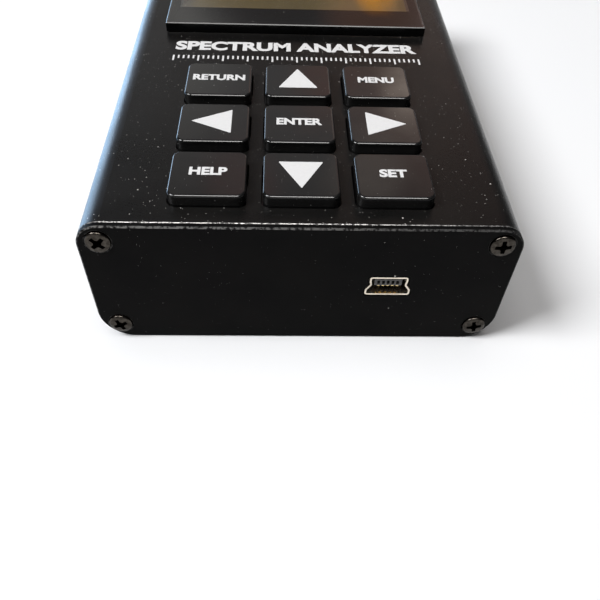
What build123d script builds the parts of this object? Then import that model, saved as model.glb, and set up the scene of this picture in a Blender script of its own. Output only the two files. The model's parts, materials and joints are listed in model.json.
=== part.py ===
from build123d import *

import os

# Handheld spectrum analyzer: an extruded two-shell aluminium case with a screen, a nine-key
# pad, a mini-B data and charging port at the bottom end, and an antenna connector and a
# power switch at the top end.
#
# Millimetres. The origin is the centre of the flat back face. +X is to the right as a user
# reads the keys, +Y runs toward the antenna connector, and +Z comes out of the front face.

# Case
case_width = 70.0
case_length = 113.0
case_height = 25.0
front_corner_radius = 3.9
back_corner_radius = 5.75
wall = 2.0
plate_thickness = 1.0
edge_chamfer = 0.25
shell_length = case_length - 2 * plate_thickness
inner_half_width = case_width / 2 - wall

# Joint between the two shells: a lip on the back shell enters a rebate in the front shell.
parting_height = case_height / 2
lip_height = 1.2
lip_thickness = 0.9
lip_gap = 0.05

# End plate screws: M2.5 raised countersunk, cross recessed.
screw_x = 31.5
front_screw_height = 22.0
back_screw_height = 3.4
screw_radius = 1.25
screw_length = 8.0
screw_head_radius = 2.0
screw_rim_height = 0.5
screw_rim_fillet = 0.3
screw_crown_height = 0.3
screw_recess_width = 2.6
screw_recess_slot = 0.7
screw_recess_core_radius = 0.65
screw_recess_depth = 1.5
screw_recess_taper = 9
screw_turns = [45, 5, 25, 12]
countersink_radius = 2.25
plate_hole_radius = 1.35
channel_radius = 2.2
channel_hole_radius = 1.35

# Main board
board_bottom = 14.9
board_thickness = 1.6
board_top = board_bottom + board_thickness
board_width = 65.6
board_bottom_end = -55.4
board_top_end = 53.4
rail_gap = 0.05
rail_thickness = 0.8
rail_depth = 1.5

# Keypad: three columns and three rows of keys on one square pitch.
key_pitch = 14.86
key_grid_x = -0.1
key_grid_y = -30.6
key_width = 12.25
key_length = 11.9
key_corner_radius = 1.4
key_top_radius = 0.4
key_proud = 2.0
key_gap = 0.25
key_flange = 0.75
key_flange_thickness = 1.0
key_flange_drop = 0.1
key_travel = 0.5
key_skin = 1.3
key_stem_radius = 2.0
key_names = [
    ["return", "up", "menu"],
    ["left", "enter", "right"],
    ["help", "down", "set"],
]
flange_top = case_height - wall - key_flange_drop
flange_bottom = flange_top - key_flange_thickness

# Tact switch under each key: 6 mm square, 5 mm high to the top of its plunger.
switch_size = 6.0
switch_body_height = 3.2
switch_cover_thickness = 0.3
switch_height = 5.0
plunger_radius = 1.75
plunger_clearance = 0.05
plunger_foot_drop = 1.9
dome_thickness = 0.1
switch_leg_length = 1.2
switch_leg_width = 0.7
switch_leg_thickness = 0.2
switch_leg_spread = 4.5
switch_top = board_top + switch_height

# Screen
window_width = 55.1
window_bottom_end = 7.3
window_top_end = 51.6
window_thickness = 1.8
window_edge_chamfer = 0.15
adhesive_thickness = 0.2
adhesive_inset = 0.3
view_width = 50.8
view_bottom_end = 16.4
view_top_end = 47.0
opening_margin = 0.6
lcd_board_thickness = 1.2
lcd_board_width = 56.4
lcd_board_bottom_end = 6.5
lcd_board_top_end = 50.5
lcd_board_height = board_top + 1.6
lcd_frame_width = 56.0
lcd_frame_bottom_end = 10.0
lcd_frame_top_end = 50.0
lcd_frame_sheet = 0.3
lcd_backlight_thickness = 1.9
lcd_panel_thickness = 1.4
header_pins = 20
header_pitch = 2.54
header_y = 8.2
header_strip_width = 2.5
header_pin_width = 0.6
header_pin_overhang = 0.8
header_hole_radius = 0.45
spacer_radius = 2.0
spacer_spread = 48.0
spacer_y = 47.5

# Mini-B receptacle, hanging under the board's edge.
usb_x = 14.7
usb_bottom = 10.9
usb_height = board_bottom - usb_bottom
usb_half_width_wide = 3.82
usb_half_width_waist = 3.05
usb_half_width_top = 3.2
usb_wide_height = 1.2
usb_waist_height = 2.3
usb_top_height = 3.0
usb_corner_radius = 0.45
usb_sheet = 0.3
usb_length = 9.2
usb_setback = 0.1
usb_cutout_gap = 0.25
usb_tongue_half_width = 2.3
usb_tongue_bottom = 1.85
usb_tongue_thickness = 1.3
usb_tongue_setback = 0.4
usb_groove_width = 0.5
usb_groove_depth = 0.7
usb_groove_floor = 0.25
usb_block_length = 2.0
usb_contacts_count = 5
usb_contact_pitch = 0.8
usb_contact_width = 0.4
usb_contact_thickness = 0.15
usb_contact_tip_height = 0.7

# SMA antenna connector on the board's top edge.
sma_x = -14.0
sma_height = board_top + 0.4
sma_flange = 6.4
sma_flange_thickness = 1.9
sma_thread_radius = 3.175
sma_root_radius = 2.85
sma_bore_radius = 2.3
sma_insulator_radius = 2.05
sma_contact_radius = 0.635
sma_socket_radius = 0.47
sma_tail_radius = 0.4
sma_tail_length = 2.5
sma_tip_end = 67.5
sma_mating_depth = 1.9
sma_socket_depth = 3.0
sma_finger = 1.0
sma_finger_length = 4.0
sma_finger_spread = 5.4
sma_thread_chamfer = 0.4
sma_plate_hole_radius = 3.4
washer_radius = 4.6
washer_bore_radius = 3.3
washer_thickness = 0.6
washer_teeth = 12
washer_tooth_notch = 0.6
nut_across_flats = 8.0
nut_thickness = 2.2
nut_bore_radius = 2.9
nut_chamfer = 0.3

# Power switch: a miniature slide switch on the board's top edge.
power_x = 16.0
power_width = 8.6
power_depth = 3.8
power_front_end = 55.2
power_base_height = 1.0
power_cover_height = 2.6
power_sheet = 0.3
power_travel = 2.0
power_foot_width = 4.0
power_foot_depth = 3.0
power_foot_height = 2.0
power_stem_width = 2.2
power_stem_height = 1.6
power_stem_end = 59.3
power_clearance = 0.05
power_slot_gap = 0.4
power_pin_radius = 0.3
power_pin_pitch = 2.5
power_pin_hole_radius = 0.4
power_pin_length = 3.4
power_slider_height = board_top + power_base_height + 0.1 + power_foot_height / 2

# Battery
battery_width = 40.0
battery_length = 60.0
battery_thickness = 6.0
battery_y = -4.0
battery_corner_radius = 2.0
battery_edge_radius = 1.4
pad_thickness = 0.6
pad_inset = 2.0
lead_radius = 0.6
lead_spacing = 2.0
plug_x = -18.0
plug_width = 5.6
plug_length = 5.0
plug_height = 3.4
plug_rear_y = -42.0
socket_wall = 0.7
socket_depth = 4.0
socket_height = 4.8

# Parts on the underside of the board. Their places are as seen from below, so x runs to -X.
microcontroller_size = 10.0
microcontroller_place = (0, -6.0)
chip_mark_inset = 1.5
chip_mark_radius = 0.5
chip_mark_depth = 0.1
chip_size = 5.0
chip_thickness = 0.9
bridge_chip_place = (-usb_x, -38.0)
charger_chip_place = (5.0, -40.0)
can_width = 22.0
can_length = 26.0
can_height = 3.0
can_sheet = 0.2
can_x = 14.0
can_y = 34.0
crystal_length = 11.4
crystal_width = 4.7
crystal_height = 3.5
crystal_edge_radius = 0.5
crystal_place = (-16.0, -6.0)
small_part_length = 2.0
small_part_width = 1.25
small_part_height = 0.6
small_part_pitch = 4.0
small_part_columns = 10
small_part_rows_y = (-17.0, 2.5)

# Planes that more than one piece is drawn on, each seen from outside. On both end planes
# local +Y is world +Z; on the board's underside local +Y is world +Y.
bottom_end = Plane(origin=(0, -case_length / 2, 0), x_dir=(1, 0, 0), z_dir=(0, -1, 0))
top_end = Plane(origin=(0, case_length / 2, 0), x_dir=(-1, 0, 0), z_dir=(0, 1, 0))
key_grid = Plane((key_grid_x, key_grid_y, 0))
board_underside = Plane(origin=(0, 0, board_bottom), x_dir=(-1, 0, 0), z_dir=(0, 0, -1))
usb_mouth = Plane(
    origin=(usb_x, -case_length / 2 + usb_setback, usb_bottom), x_dir=(1, 0, 0), z_dir=(0, -1, 0)
)
sma_base = Plane(origin=(sma_x, board_top_end, sma_height), x_dir=(-1, 0, 0), z_dir=(0, 1, 0))
front_screw_places = [(x, front_screw_height) for x in (-screw_x, screw_x)]
back_screw_places = [(x, back_screw_height) for x in (-screw_x, screw_x)]
screw_places = front_screw_places + back_screw_places


def save(piece, name):
    """Label a finished piece and write it as parts/name.step."""
    piece.part.label = name
    export_step(piece.part, f"parts/{name}.step")


def case_outline(plane, inset=0.0):
    """Rounded cross-section of the case on an end plane, moved inward by inset."""
    with BuildSketch(plane) as outline:
        with Locations((0, case_height / 2)):
            Rectangle(case_width - 2 * inset, case_height - 2 * inset)
        fillet(outline.vertices().group_by(Axis.Y)[0], back_corner_radius - inset)
        fillet(outline.vertices().group_by(Axis.Y)[-1], front_corner_radius - inset)
    return outline.sketch


def make_case_tube():
    """The closed tube that both shells are halves of, with its end edges broken."""
    shell_end = bottom_end.offset(-plate_thickness)
    with BuildPart() as tube:
        extrude(case_outline(shell_end), amount=-shell_length)
        chamfer(tube.faces().filter_by(Axis.Y).edges(), edge_chamfer)
        extrude(case_outline(shell_end, wall), amount=-shell_length, mode=Mode.SUBTRACT)
    return tube.part


def make_front_shell(tube):
    """Upper half of the case, with the board's rails, the key openings and the screen opening."""
    shell_end = bottom_end.offset(-plate_thickness)
    rail_offset = board_thickness / 2 + rail_gap + rail_thickness / 2
    board_middle = board_bottom + board_thickness / 2
    with BuildPart() as shell:
        add(tube)
        split(bisect_by=Plane.XY.offset(parting_height), keep=Keep.TOP)
        with BuildSketch(shell_end):
            with Locations(front_screw_places):
                Circle(channel_radius)
            with Locations((0, board_middle)):
                with GridLocations(2 * inner_half_width, 2 * rail_offset, 2, 2):
                    Rectangle(2 * rail_depth, rail_thickness)
        extrude(amount=-shell_length)
        with BuildSketch(shell_end):
            with Locations(front_screw_places):
                Circle(channel_hole_radius)
        extrude(amount=-shell_length, mode=Mode.SUBTRACT)
        with BuildSketch(shell_end):
            rebate_width = 2 * (lip_thickness + 2 * lip_gap)
            with Locations((-inner_half_width, parting_height), (inner_half_width, parting_height)):
                Rectangle(rebate_width, 2 * (lip_height + lip_gap))
        extrude(amount=-shell_length, mode=Mode.SUBTRACT)
        with BuildSketch(key_grid.offset(case_height)):
            with GridLocations(key_pitch, key_pitch, 3, 3):
                RectangleRounded(
                    key_width + 2 * key_gap, key_length + 2 * key_gap, key_corner_radius + key_gap
                )
        extrude(amount=-wall, mode=Mode.SUBTRACT)
        with BuildSketch(Plane.XY.offset(case_height)):
            with Locations((0, (view_bottom_end + view_top_end) / 2)):
                Rectangle(
                    view_width + 2 * opening_margin,
                    view_top_end - view_bottom_end + 2 * opening_margin,
                )
        extrude(amount=-wall, mode=Mode.SUBTRACT)
    return shell


def make_back_shell(tube):
    """Lower half of the case, with the lip that locates the front shell."""
    shell_end = bottom_end.offset(-plate_thickness)
    lip_x = inner_half_width + lip_gap + lip_thickness / 2
    with BuildPart() as shell:
        add(tube)
        split(bisect_by=Plane.XY.offset(parting_height), keep=Keep.BOTTOM)
        with BuildSketch(shell_end):
            with Locations(back_screw_places):
                Circle(channel_radius)
            with Locations((-lip_x, parting_height), (lip_x, parting_height)):
                Rectangle(lip_thickness, 2 * lip_height)
        extrude(amount=-shell_length)
        with BuildSketch(shell_end):
            with Locations(back_screw_places):
                Circle(channel_hole_radius)
        extrude(amount=-shell_length, mode=Mode.SUBTRACT)
    return shell


def make_blank_plate(end):
    """An end plate without its connector openings: the case outline with four screw holes."""
    with BuildPart(end) as plate:
        extrude(case_outline(end), amount=-plate_thickness)
        outer_face = plate.faces().filter_by(Axis.Y).sort_by(Axis((0, 0, 0), end.z_dir))[-1]
        chamfer(outer_face.edges(), edge_chamfer)
        with Locations(screw_places):
            CounterSinkHole(
                plate_hole_radius, countersink_radius, plate_thickness, counter_sink_angle=90
            )
    return plate.part


def make_bottom_end_plate(blank):
    """End plate below the keypad, with the opening for the mini-B receptacle."""
    with BuildPart() as plate:
        add(blank)
        opening = usb_outline(usb_mouth.offset(usb_setback), usb_cutout_gap)
        extrude(opening, amount=-plate_thickness, mode=Mode.SUBTRACT)
    return plate


def make_top_end_plate(blank):
    """End plate above the screen, with the antenna connector's hole and the switch's slot."""
    with BuildPart() as plate:
        add(blank)
        with BuildSketch(top_end):
            with Locations((-sma_x, sma_height)):
                Circle(sma_plate_hole_radius)
            with Locations((-power_x, power_slider_height)):
                Rectangle(
                    power_stem_width + power_travel + 2 * power_slot_gap,
                    power_stem_height + 2 * power_slot_gap,
                )
        extrude(amount=-plate_thickness, mode=Mode.SUBTRACT)
    return plate


def make_screw():
    """One raised countersunk screw along Z, with the top of its cone at the origin."""
    cone_height = screw_head_radius - screw_radius
    crown = screw_rim_height + screw_crown_height
    with BuildPart() as screw:
        with BuildSketch(Plane.XZ) as profile:
            with BuildLine():
                TangentArc((0, crown), (screw_head_radius, screw_rim_height), tangent=(1, 0))
                Polyline(
                    (screw_head_radius, screw_rim_height),
                    (screw_head_radius, 0),
                    (screw_radius, -cone_height),
                    (screw_radius, screw_radius - screw_length),
                    (0, -screw_length),
                    (0, crown),
                )
            make_face()
            rim = profile.vertices().group_by(Axis.X)[-1].sort_by(Axis.Y)[-1]
            fillet(rim, screw_rim_fillet)
        revolve(axis=Axis.Z)
        with BuildSketch(Plane.XY.offset(crown)):
            Rectangle(screw_recess_width, screw_recess_slot)
            Rectangle(screw_recess_slot, screw_recess_width)
            Circle(screw_recess_core_radius)
        extrude(amount=-screw_recess_depth, taper=screw_recess_taper, mode=Mode.SUBTRACT)
    return screw.part


def make_plate_screws(screw, end):
    """The four screws of one end plate, each stopped at its own turn in its countersink."""
    with BuildPart(end.offset(screw_head_radius - countersink_radius)) as screws:
        for place, turn in zip(screw_places, screw_turns):
            with Locations(Location(place, (0, 0, turn))):
                add(screw)
    return screws


def make_key(x, y):
    """One hollow keycap with a retaining flange and a stem that reaches its tact switch."""
    base = Plane((x, y, 0))
    cap_top = case_height + key_proud
    with BuildPart() as key:
        with BuildSketch(base.offset(flange_bottom)):
            RectangleRounded(key_width, key_length, key_corner_radius)
        extrude(amount=cap_top - flange_bottom)
        fillet(key.faces().sort_by(Axis.Z)[-1].edges(), key_top_radius)
        with BuildSketch(base.offset(flange_bottom)):
            RectangleRounded(
                key_width + 2 * key_flange, key_length + 2 * key_flange, key_corner_radius
            )
        extrude(amount=key_flange_thickness)
        with BuildSketch(base.offset(flange_bottom)):
            Rectangle(key_width - 2 * key_skin, key_length - 2 * key_skin)
        extrude(amount=cap_top - key_skin - flange_bottom, mode=Mode.SUBTRACT)
        with BuildSketch(base.offset(switch_top)):
            Circle(key_stem_radius)
        extrude(amount=cap_top - key_skin - switch_top)
    return key


def make_plunger(x, y):
    """The round plunger of one tact switch."""
    with BuildPart() as plunger:
        with BuildSketch(Plane((x, y, switch_top))):
            Circle(plunger_radius)
        extrude(amount=-(switch_height - switch_body_height + plunger_foot_drop))
    return plunger


def make_tact_switch_bodies():
    """Nine moulded switch bodies, each with a pocket for its dome and plunger."""
    pocket_depth = plunger_foot_drop + key_travel + 2 * dome_thickness
    with BuildPart() as bodies:
        with BuildSketch(key_grid.offset(board_top)):
            with GridLocations(key_pitch, key_pitch, 3, 3):
                Rectangle(switch_size, switch_size)
        extrude(amount=switch_body_height)
        with BuildSketch(key_grid.offset(board_top + switch_body_height)):
            with GridLocations(key_pitch, key_pitch, 3, 3):
                Circle(plunger_radius + 2 * plunger_clearance)
        extrude(amount=-pocket_depth, mode=Mode.SUBTRACT)
    return bodies


def make_tact_switch_domes():
    """Nine contact domes on the floors of the switch pockets."""
    pocket_floor = board_top + switch_body_height - plunger_foot_drop - key_travel - 2 * dome_thickness
    with BuildPart() as domes:
        with BuildSketch(key_grid.offset(pocket_floor)):
            with GridLocations(key_pitch, key_pitch, 3, 3):
                Circle(plunger_radius)
        extrude(amount=dome_thickness)
    return domes


def make_tact_switch_covers():
    """Nine steel covers, each with the hole that guides its plunger."""
    with BuildPart() as covers:
        with BuildSketch(key_grid.offset(board_top + switch_body_height)):
            with GridLocations(key_pitch, key_pitch, 3, 3):
                Rectangle(switch_size, switch_size)
                Circle(plunger_radius + plunger_clearance, mode=Mode.SUBTRACT)
        extrude(amount=switch_cover_thickness)
    return covers


def make_tact_switch_legs():
    """Four flat solder legs beside each switch."""
    with BuildPart() as legs:
        with BuildSketch(key_grid.offset(board_top)):
            with GridLocations(key_pitch, key_pitch, 3, 3):
                with GridLocations(switch_size + switch_leg_length, switch_leg_spread, 2, 2):
                    Rectangle(switch_leg_length, switch_leg_width)
        extrude(amount=switch_leg_thickness)
    return legs


def make_main_board():
    """The circuit board, drilled for the screen's header and the power switch's pins."""
    with BuildPart() as board:
        with BuildSketch(Plane.XY.offset(board_bottom)):
            with Locations((0, (board_bottom_end + board_top_end) / 2)):
                Rectangle(board_width, board_top_end - board_bottom_end)
            with Locations((0, header_y)):
                with GridLocations(header_pitch, 1, header_pins, 1):
                    Circle(header_hole_radius, mode=Mode.SUBTRACT)
            with Locations((power_x, power_front_end - power_depth / 2)):
                with GridLocations(power_pin_pitch, 1, 3, 1):
                    Circle(power_pin_hole_radius, mode=Mode.SUBTRACT)
        extrude(amount=board_thickness)
    return board


def make_window_adhesive():
    """Black adhesive frame under the window; its opening is the visible screen."""
    with BuildPart() as adhesive:
        with BuildSketch(Plane.XY.offset(case_height)):
            with Locations((0, (window_bottom_end + window_top_end) / 2)):
                Rectangle(
                    window_width - 2 * adhesive_inset,
                    window_top_end - window_bottom_end - 2 * adhesive_inset,
                )
            with Locations((0, (view_bottom_end + view_top_end) / 2)):
                Rectangle(view_width, view_top_end - view_bottom_end, mode=Mode.SUBTRACT)
        extrude(amount=adhesive_thickness)
    return adhesive


def make_screen_window():
    """Flat clear acrylic window stuck to the front face."""
    with BuildPart() as window:
        with BuildSketch(Plane.XY.offset(case_height + adhesive_thickness)):
            with Locations((0, (window_bottom_end + window_top_end) / 2)):
                Rectangle(window_width, window_top_end - window_bottom_end)
        extrude(amount=window_thickness)
        chamfer(window.faces().sort_by(Axis.Z)[-1].edges(), window_edge_chamfer)
    return window


def make_lcd_board():
    """The screen module's own circuit board."""
    with BuildPart() as board:
        with BuildSketch(Plane.XY.offset(lcd_board_height)):
            with Locations((0, (lcd_board_bottom_end + lcd_board_top_end) / 2)):
                Rectangle(lcd_board_width, lcd_board_top_end - lcd_board_bottom_end)
            with Locations((0, header_y)):
                with GridLocations(header_pitch, 1, header_pins, 1):
                    Circle(header_hole_radius, mode=Mode.SUBTRACT)
        extrude(amount=lcd_board_thickness)
    return board


def make_lcd_slab(height, thickness):
    """A flat layer that fills the inside of the screen frame."""
    with BuildPart() as slab:
        with BuildSketch(Plane.XY.offset(height)):
            with Locations((0, (lcd_frame_bottom_end + lcd_frame_top_end) / 2)):
                Rectangle(
                    lcd_frame_width - 2 * lcd_frame_sheet,
                    lcd_frame_top_end - lcd_frame_bottom_end - 2 * lcd_frame_sheet,
                )
        extrude(amount=thickness)
    return slab


def make_lcd_frame():
    """Folded steel bezel around the panel and its backlight."""
    base = lcd_board_height + lcd_board_thickness
    stack = lcd_backlight_thickness + lcd_panel_thickness
    frame_y = (lcd_frame_bottom_end + lcd_frame_top_end) / 2
    frame_length = lcd_frame_top_end - lcd_frame_bottom_end
    with BuildPart() as frame:
        with BuildSketch(Plane.XY.offset(base)):
            with Locations((0, frame_y)):
                Rectangle(lcd_frame_width, frame_length)
        extrude(amount=stack + lcd_frame_sheet)
        with BuildSketch(Plane.XY.offset(base)):
            with Locations((0, frame_y)):
                Rectangle(lcd_frame_width - 2 * lcd_frame_sheet, frame_length - 2 * lcd_frame_sheet)
        extrude(amount=stack, mode=Mode.SUBTRACT)
        with BuildSketch(Plane.XY.offset(base + stack)):
            with Locations((0, (view_bottom_end + view_top_end) / 2)):
                Rectangle(
                    view_width + 2 * opening_margin,
                    view_top_end - view_bottom_end + 2 * opening_margin,
                )
        extrude(amount=lcd_frame_sheet, mode=Mode.SUBTRACT)
    return frame


def make_header_strip():
    """Plastic spacer strip between the two boards, holding the header pins."""
    with BuildPart() as strip:
        with BuildSketch(Plane.XY.offset(board_top)):
            with Locations((0, header_y)):
                Rectangle(header_pins * header_pitch, header_strip_width)
                with GridLocations(header_pitch, 1, header_pins, 1):
                    Rectangle(header_pin_width, header_pin_width, mode=Mode.SUBTRACT)
        extrude(amount=lcd_board_height - board_top)
    return strip


def make_header_pins():
    """Square pins that join the screen's board to the main board."""
    top = lcd_board_height + lcd_board_thickness + header_pin_overhang
    foot = board_bottom - header_pin_overhang
    with BuildPart() as pins:
        with BuildSketch(Plane.XY.offset(foot)):
            with Locations((0, header_y)):
                with GridLocations(header_pitch, 1, header_pins, 1):
                    Rectangle(header_pin_width, header_pin_width)
        extrude(amount=top - foot)
    return pins


def make_lcd_spacers():
    """Two round spacers that carry the free end of the screen's board."""
    with BuildPart() as spacers:
        with BuildSketch(Plane.XY.offset(board_top)):
            with Locations((0, spacer_y)):
                with GridLocations(spacer_spread, 1, 2, 1):
                    Circle(spacer_radius)
        extrude(amount=lcd_board_height - board_top)
    return spacers


def usb_outline(plane, grow=0.0):
    """Keyed outline of the mini-B receptacle: wide below, waisted, narrower toward the board."""
    with BuildSketch(plane) as outline:
        with BuildLine():
            Polyline(
                (0, 0),
                (usb_half_width_wide, 0),
                (usb_half_width_wide, usb_wide_height),
                (usb_half_width_waist, usb_waist_height),
                (usb_half_width_top, usb_top_height),
                (usb_half_width_top, usb_height),
                (0, usb_height),
            )
            mirror(about=Plane.YZ)
        make_face()
        fillet(outline.vertices(), usb_corner_radius)
        if grow:
            offset(amount=grow, mode=Mode.REPLACE)
    return outline.sketch


def make_usb_shell():
    """Folded steel shell of the mini-B receptacle."""
    outer = usb_outline(usb_mouth)
    inner = usb_outline(usb_mouth, -usb_sheet)
    with BuildPart() as shell:
        extrude(outer, amount=-usb_length)
        extrude(inner, amount=-usb_length, mode=Mode.SUBTRACT)
    return shell


def make_usb_insulator():
    """Rear block and tongue of the receptacle."""
    inner = usb_outline(usb_mouth.offset(-usb_length), -usb_sheet)
    with BuildPart() as insulator:
        extrude(inner, amount=usb_block_length)
        with BuildSketch(usb_mouth.offset(-usb_tongue_setback)):
            with Locations((0, usb_tongue_bottom + usb_tongue_thickness / 2)):
                Rectangle(2 * usb_tongue_half_width, usb_tongue_thickness)
        extrude(amount=-(usb_length - usb_tongue_setback - usb_block_length))
        with BuildSketch(usb_mouth.offset(-usb_tongue_setback)):
            groove_height = usb_tongue_thickness - 2 * usb_groove_floor
            with Locations((0, usb_tongue_bottom + usb_tongue_thickness / 2)):
                with GridLocations(usb_contact_pitch, 1, usb_contacts_count, 1):
                    Rectangle(usb_groove_width, groove_height)
        extrude(amount=-usb_groove_depth, mode=Mode.SUBTRACT)
    return insulator


def make_usb_contacts():
    """Five contacts, each running under the tongue with its tip bowed down."""
    tip = usb_mouth.offset(-usb_tongue_setback)
    under_length = usb_length - usb_tongue_setback - usb_block_length
    with BuildPart() as contacts:
        with BuildSketch(tip):
            with Locations((0, usb_tongue_bottom - usb_contact_thickness / 2)):
                with GridLocations(usb_contact_pitch, 1, usb_contacts_count, 1):
                    Rectangle(usb_contact_width, usb_contact_thickness)
        extrude(amount=-under_length)
        with BuildSketch(tip.offset(-usb_groove_depth)):
            with Locations((0, usb_tongue_bottom - usb_contact_tip_height / 2)):
                with GridLocations(usb_contact_pitch, 1, usb_contacts_count, 1):
                    Rectangle(usb_contact_width, usb_contact_tip_height)
        extrude(amount=-usb_contact_thickness)
    return contacts


def make_sma_body():
    """Connector body: board fingers, square flange and barrel.

    The thread is drawn as a plain round: its crests where it is free, its root under the nut.
    """
    barrel_start = sma_flange_thickness
    barrel_end = sma_tip_end - board_top_end
    nut_end = case_length / 2 - board_top_end + washer_thickness + nut_thickness
    with BuildPart() as body:
        with BuildSketch(sma_base):
            Rectangle(sma_flange, sma_flange)
        extrude(amount=sma_flange_thickness)
        with BuildSketch(sma_base):
            finger_y = board_top - sma_height + sma_finger / 2
            lower_finger_y = board_bottom - sma_height - sma_finger / 2
            for y in (finger_y, lower_finger_y):
                with Locations((0, y)):
                    with GridLocations(sma_finger_spread, 1, 2, 1):
                        Rectangle(sma_finger, sma_finger)
        extrude(amount=-sma_finger_length)
        with BuildSketch(sma_base.offset(barrel_start)):
            Circle(sma_root_radius)
        extrude(amount=nut_end - barrel_start)
        with BuildSketch(sma_base.offset(nut_end)):
            Circle(sma_thread_radius)
        extrude(amount=barrel_end - nut_end)
        chamfer(body.faces().sort_by(Axis.Y)[-1].edges(), sma_thread_chamfer)
        with BuildSketch(sma_base):
            Circle(sma_insulator_radius)
        extrude(amount=barrel_end, mode=Mode.SUBTRACT)
        with BuildSketch(sma_base.offset(barrel_end)):
            Circle(sma_bore_radius)
        extrude(amount=-sma_mating_depth, mode=Mode.SUBTRACT)
    return body


def make_sma_insulator():
    """Insulating sleeve between the connector's barrel and its centre contact."""
    sleeve_length = sma_tip_end - board_top_end - sma_mating_depth
    with BuildPart() as insulator:
        with BuildSketch(sma_base):
            Circle(sma_insulator_radius)
            Circle(sma_contact_radius, mode=Mode.SUBTRACT)
        extrude(amount=sleeve_length)
    return insulator


def make_sma_center_contact():
    """Centre contact: a socket for the antenna's pin and a solder tail on the board."""
    contact_length = sma_tip_end - board_top_end - sma_mating_depth
    with BuildPart() as contact:
        with BuildSketch(sma_base):
            Circle(sma_contact_radius)
        extrude(amount=contact_length)
        with BuildSketch(sma_base.offset(contact_length)):
            Circle(sma_socket_radius)
        extrude(amount=-sma_socket_depth, mode=Mode.SUBTRACT)
        with BuildSketch(sma_base):
            Circle(sma_tail_radius)
        extrude(amount=-sma_tail_length)
    return contact


def make_sma_lock_washer():
    """Toothed lock washer between the end plate and the nut."""
    outside = Plane(origin=(sma_x, case_length / 2, sma_height), x_dir=(-1, 0, 0), z_dir=(0, 1, 0))
    with BuildPart() as washer:
        with BuildSketch(outside):
            Circle(washer_radius)
            Circle(washer_bore_radius, mode=Mode.SUBTRACT)
            with PolarLocations(washer_radius, washer_teeth):
                Rectangle(washer_tooth_notch, washer_tooth_notch, mode=Mode.SUBTRACT)
        extrude(amount=washer_thickness)
    return washer


def make_sma_nut():
    """Hexagon nut that clamps the connector to the end plate."""
    seat = Plane(
        origin=(sma_x, case_length / 2 + washer_thickness, sma_height),
        x_dir=(-1, 0, 0),
        z_dir=(0, 1, 0),
    )
    with BuildPart() as nut:
        with BuildSketch(seat):
            RegularPolygon(nut_across_flats / 2, 6, major_radius=False)
        extrude(amount=nut_thickness)
        chamfer(nut.faces().sort_by(Axis.Y)[-1].edges(), nut_chamfer)
        with BuildSketch(seat):
            Circle(nut_bore_radius)
        extrude(amount=nut_thickness, mode=Mode.SUBTRACT)
    return nut


def make_power_switch_base():
    """Plastic base of the slide switch."""
    with BuildPart() as base:
        with BuildSketch(Plane.XY.offset(board_top)):
            with Locations((power_x, power_front_end - power_depth / 2)):
                Rectangle(power_width, power_depth)
                with GridLocations(power_pin_pitch, 1, 3, 1):
                    Circle(power_pin_radius, mode=Mode.SUBTRACT)
        extrude(amount=power_base_height)
    return base


def make_power_switch_pins():
    """Three pins from the slide switch through the board."""
    with BuildPart() as pins:
        with BuildSketch(Plane.XY.offset(board_top + power_base_height)):
            with Locations((power_x, power_front_end - power_depth / 2)):
                with GridLocations(power_pin_pitch, 1, 3, 1):
                    Circle(power_pin_radius)
        extrude(amount=-power_pin_length)
    return pins


def make_power_switch_cover():
    """Folded steel cover of the slide switch, with the slot its slider runs in."""
    cover_base = board_top + power_base_height
    slot_width = power_stem_width + power_travel + 2 * power_clearance
    front = Plane(
        origin=(power_x, power_front_end, power_slider_height), x_dir=(-1, 0, 0), z_dir=(0, 1, 0)
    )
    with BuildPart() as cover:
        with BuildSketch(Plane.XY.offset(cover_base)):
            with Locations((power_x, power_front_end - power_depth / 2)):
                Rectangle(power_width, power_depth)
        extrude(amount=power_cover_height)
        with BuildSketch(Plane.XY.offset(cover_base)):
            with Locations((power_x, power_front_end - power_depth / 2)):
                Rectangle(power_width - 2 * power_sheet, power_depth - 2 * power_sheet)
        extrude(amount=power_cover_height - power_sheet, mode=Mode.SUBTRACT)
        with BuildSketch(front):
            Rectangle(slot_width, power_stem_height + 2 * power_clearance)
        extrude(amount=-power_sheet, mode=Mode.SUBTRACT)
    return cover


def make_power_switch_slider():
    """Slider of the power switch, drawn at its off end."""
    off_x = power_x - power_travel / 2
    foot_front = power_front_end - power_sheet - (power_depth - 2 * power_sheet - power_foot_depth) / 2
    foot_face = Plane(
        origin=(off_x, foot_front, power_slider_height), x_dir=(-1, 0, 0), z_dir=(0, 1, 0)
    )
    with BuildPart() as slider:
        with BuildSketch(foot_face):
            Rectangle(power_foot_width, power_foot_height)
        extrude(amount=-power_foot_depth)
        with BuildSketch(foot_face):
            Rectangle(power_stem_width, power_stem_height)
        extrude(amount=power_stem_end - foot_front)
        chamfer(slider.faces().sort_by(Axis.Y)[-1].edges(), edge_chamfer)
    return slider


def make_battery_pouch():
    """Lithium polymer pouch cell."""
    with BuildPart() as pouch:
        with BuildSketch(Plane((0, battery_y, wall + pad_thickness))):
            RectangleRounded(battery_width, battery_length, battery_corner_radius)
        extrude(amount=battery_thickness)
        fillet(pouch.faces().filter_by(Axis.Z).edges(), battery_edge_radius)
    return pouch


def make_battery_pad():
    """Foam pad that holds the cell on the back shell."""
    with BuildPart() as pad:
        with BuildSketch(Plane((0, battery_y, wall))):
            Rectangle(battery_width - 2 * pad_inset, battery_length - 2 * pad_inset)
        extrude(amount=pad_thickness)
    return pad


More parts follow.
